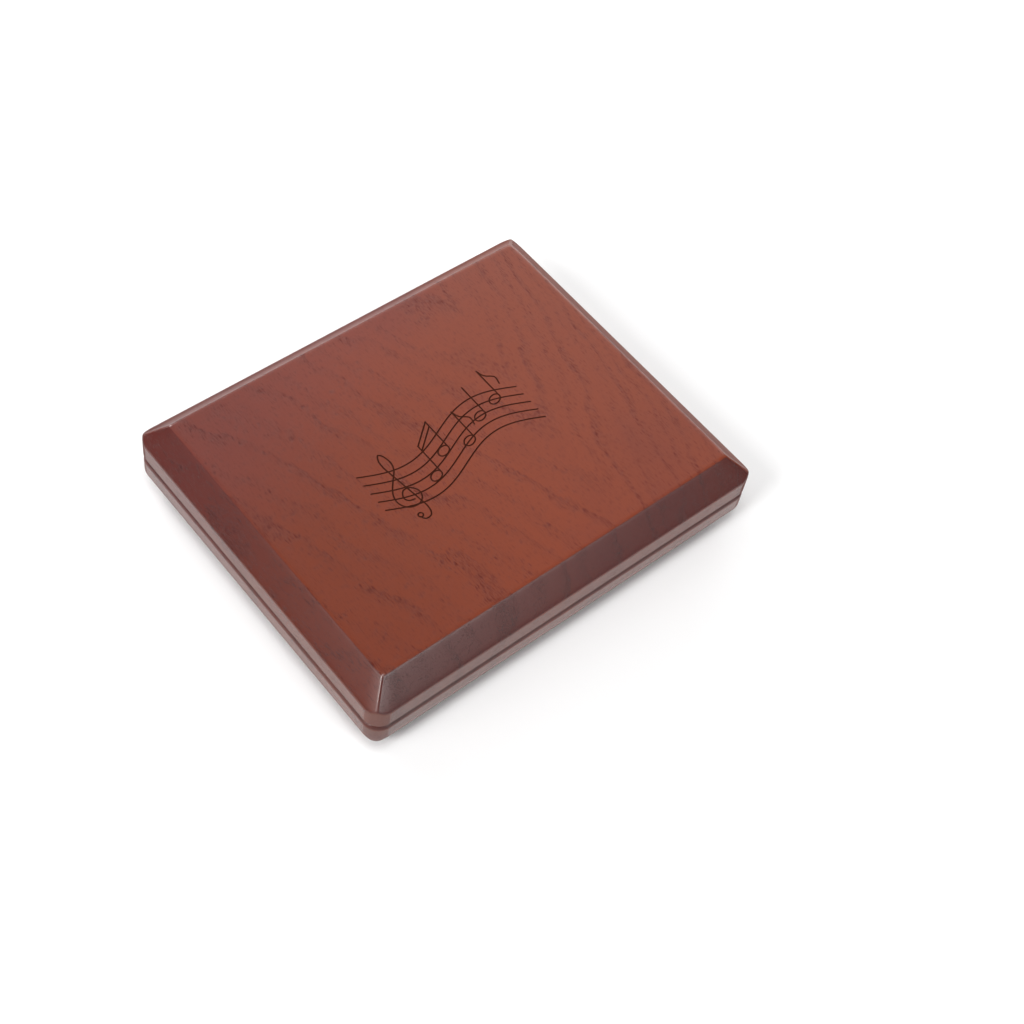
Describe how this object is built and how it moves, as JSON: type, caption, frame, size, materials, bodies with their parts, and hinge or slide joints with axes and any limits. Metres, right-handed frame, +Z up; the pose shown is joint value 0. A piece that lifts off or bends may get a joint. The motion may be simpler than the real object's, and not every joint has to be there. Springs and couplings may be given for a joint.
{
  "type": "reed case",
  "caption": "Flat bevelled wooden case that opens on brass butt hinges, with grooved reed boards, ribbons and magnets in both halves.",
  "frame": {"origin": "middle of the underside's flat face, on which the closed case lies", "axes": "+X along the long side, +Y to the hinges, +Z up through the lid"},
  "size_m": [0.12, 0.0998, 0.025],
  "materials": {
    "stained_wood": "satin red-brown lacquer over open-pored wood",
    "board_wood": "smooth oiled wood",
    "flock": "short black flock",
    "satin_ribbon": "woven elastic ribbon",
    "clip_brass": "satin",
    "screw_brass": "bright",
    "hinge_brass": "polished",
    "nickel": "nickel plate"
  },
  "bodies": {
    "base": {"base_shell": "stained_wood", "base_lining": "flock", "base_reed_board": "board_wood", "base_ribbon": "satin_ribbon", "base_clip_left": "clip_brass", "base_clip_left_screw_front": "screw_brass", "base_clip_left_screw_rear": "screw_brass", "base_clip_right": "clip_brass", "base_clip_right_screw_front": "screw_brass", "base_clip_right_screw_rear": "screw_brass", "base_magnet_left": "nickel", "base_magnet_right": "nickel", "hinge_left_base_leaf": "hinge_brass", "hinge_left_base_screw_left": "screw_brass", "hinge_left_base_screw_right": "screw_brass", "hinge_left_pin": "hinge_brass", "hinge_right_base_leaf": "hinge_brass", "hinge_right_base_screw_left": "screw_brass", "hinge_right_base_screw_right": "screw_brass", "hinge_right_pin": "hinge_brass"},
    "lid": {"lid_shell": "stained_wood", "lid_lining": "flock", "lid_reed_board": "board_wood", "lid_ribbon": "satin_ribbon", "lid_clip_left": "clip_brass", "lid_clip_left_screw_front": "screw_brass", "lid_clip_left_screw_rear": "screw_brass", "lid_clip_right": "clip_brass", "lid_clip_right_screw_front": "screw_brass", "lid_clip_right_screw_rear": "screw_brass", "lid_magnet_left": "nickel", "lid_magnet_right": "nickel", "hinge_left_lid_leaf": "hinge_brass", "hinge_left_lid_screw_left": "screw_brass", "hinge_left_lid_screw_right": "screw_brass", "hinge_right_lid_leaf": "hinge_brass", "hinge_right_lid_screw_left": "screw_brass", "hinge_right_lid_screw_right": "screw_brass"}
  },
  "joints": [
    {"name": "lid_hinge", "type": "hinge", "parent": "base", "child": "lid", "pos_m": [0, 0.0492, 0.0125], "axis": [-1, 0, 0], "range_deg": [0, 180]}
  ]
}
